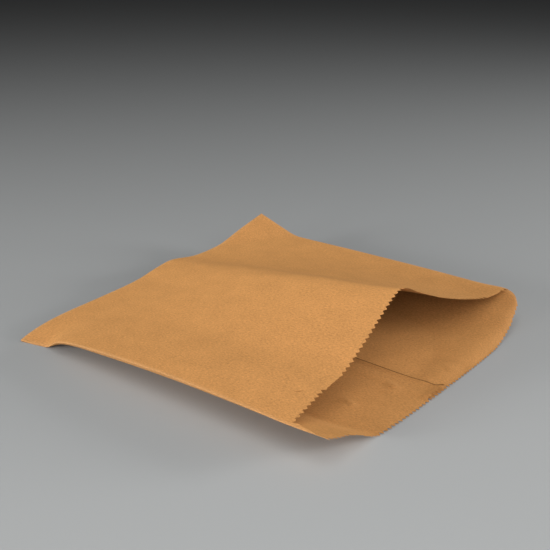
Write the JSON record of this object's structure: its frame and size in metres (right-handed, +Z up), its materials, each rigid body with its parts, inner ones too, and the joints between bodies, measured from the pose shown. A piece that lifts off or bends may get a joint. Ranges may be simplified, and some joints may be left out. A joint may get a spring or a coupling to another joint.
{
  "type": "brown paper lunch bag",
  "caption": "Flat kraft paper bag with a pinked mouth, lip, glued back seam and folded end, lying on its back with its mouth sprung open.",
  "frame": {"origin": "centre of the bounding box in X and Y, on the surface the bag lies on", "axes": "+X from the closed end to the mouth, +Y from the low side crease to the one by the raised corner, +Z up"},
  "size_m": [0.2192, 0.2158, 0.0492],
  "materials": {
    "kraft_paper": "uncoated brown kraft paper, matt, with a fine fibre mottle"
  },
  "bodies": {
    "root": {"paper_bag": "kraft_paper"}
  },
  "joints": []
}
